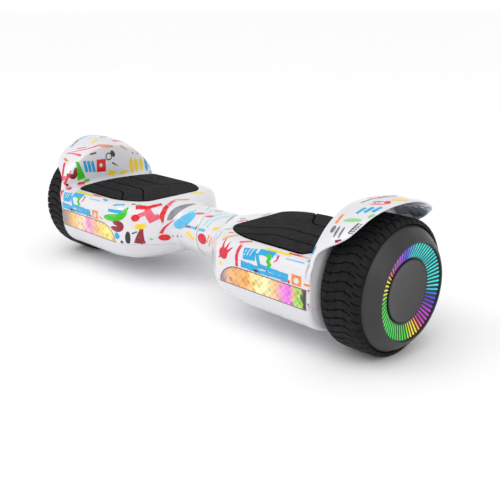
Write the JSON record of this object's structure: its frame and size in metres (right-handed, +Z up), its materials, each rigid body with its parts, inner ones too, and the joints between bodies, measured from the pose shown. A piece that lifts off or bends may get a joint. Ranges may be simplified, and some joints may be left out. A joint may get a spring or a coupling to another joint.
{
  "type": "self balancing hoverboard",
  "caption": "Two wheeled self balancing board: twin half bodies twisting about a central neck, sprung foot pads, hub motor wheels, arched fenders and light strips.",
  "frame": {"origin": "on the ground, midway between the two wheels, under the seam of the two half bodies", "axes": "+X along the wheel axis towards the right wheel, -Y towards the front with the light strips, +Z up"},
  "size_m": [0.667, 0.186, 0.1867],
  "materials": {
    "shell_print": "glossy white with a printed pattern of bright abstract paint strokes",
    "shell_white": "glossy plain white",
    "pad_rubber": "matt charcoal",
    "tyre_rubber": "matt black with moulded tread",
    "cover_grey": "satin dark grey",
    "strip_lens": "lit diamond patterned lens",
    "smoke_lens": "smoked translucent",
    "ring_lens": "lit slots in many colours on black",
    "board": "green circuit board",
    "black_plastic": "matt black",
    "cast_aluminium": "cast, fine grain",
    "steel": "turned and ground",
    "brass": "turned",
    "copper": "copper windings on a steel core"
  },
  "bodies": {
    "right_half": {"right_upper_shell": "shell_print", "right_lower_shell": "shell_white", "right_pad_switch_board": "board", "right_light_strip_lens": "strip_lens", "right_light_strip_board": "board", "right_neck_light": "smoke_lens", "right_chassis": "cast_aluminium", "right_axle": "steel", "right_axle_clamp": "cast_aluminium", "right_clamp_screw_front": "steel", "right_clamp_screw_rear": "steel", "right_shell_screw_inner": "steel", "right_shell_screw_outer": "steel", "right_stator": "copper", "right_gyro_board": "board", "pivot_shaft": "steel", "pivot_circlip": "steel", "wiring_loom": "black_plastic", "main_board": "board", "charge_socket": "black_plastic"},
    "left_half": {"left_upper_shell": "shell_print", "left_lower_shell": "shell_white", "left_pad_switch_board": "board", "left_light_strip_lens": "strip_lens", "left_light_strip_board": "board", "left_neck_light": "smoke_lens", "left_chassis": "cast_aluminium", "left_axle": "steel", "left_axle_clamp": "cast_aluminium", "left_clamp_screw_front": "steel", "left_clamp_screw_rear": "steel", "left_shell_screw_inner": "steel", "left_shell_screw_outer": "steel", "left_stator": "copper", "left_gyro_board": "board", "pivot_bush_inner": "brass", "pivot_bush_outer": "brass", "battery_pack": "black_plastic"},
    "right_wheel": {"right_tyre": "tyre_rubber", "right_rotor_hub": "cast_aluminium", "right_rotor_cover": "cast_aluminium", "right_inner_bearing": "steel", "right_outer_bearing": "steel", "right_wheel_cover": "cover_grey", "right_ring_lens": "ring_lens", "right_ring_board": "board", "right_hub_cap": "cover_grey"},
    "left_wheel": {"left_tyre": "tyre_rubber", "left_rotor_hub": "cast_aluminium", "left_rotor_cover": "cast_aluminium", "left_inner_bearing": "steel", "left_outer_bearing": "steel", "left_wheel_cover": "cover_grey", "left_ring_lens": "ring_lens", "left_ring_board": "board", "left_hub_cap": "cover_grey"},
    "right_pad": {"right_foot_pad": "pad_rubber"},
    "left_pad": {"left_foot_pad": "pad_rubber"},
    "power_button": {"power_button": "black_plastic"},
    "charge_flap": {"charge_flap": "pad_rubber"}
  },
  "joints": [
    {"name": "half_twist", "type": "hinge", "parent": "right_half", "child": "left_half", "pos_m": [0, 0, 0.0825], "axis": [1, 0, 0], "range_deg": [-10, 10]},
    {"name": "right_wheel_spin", "type": "hinge", "parent": "right_half", "child": "right_wheel", "pos_m": [0.29, 0, 0.0825], "axis": [1, 0, 0], "continuous": true},
    {"name": "left_wheel_spin", "type": "hinge", "parent": "left_half", "child": "left_wheel", "pos_m": [-0.29, 0, 0.0825], "axis": [1, 0, 0], "continuous": true},
    {"name": "right_pad_press", "type": "slide", "parent": "right_half", "child": "right_pad", "axis": [0, 0, -1], "range_m": [0, 0.0015], "stiffness_N_per_m": 9000},
    {"name": "left_pad_press", "type": "slide", "parent": "left_half", "child": "left_pad", "axis": [0, 0, -1], "range_m": [0, 0.0015], "stiffness_N_per_m": 9000},
    {"name": "power_button_press", "type": "slide", "parent": "right_half", "child": "power_button", "axis": [0, -1, 0], "range_m": [0, 0.0015], "stiffness_N_per_m": 600},
    {"name": "charge_flap_swing", "type": "hinge", "parent": "right_half", "child": "charge_flap", "pos_m": [0.19, 0.0917, 0.0895], "axis": [1, 0, 0], "range_deg": [0, 110]}
  ]
}
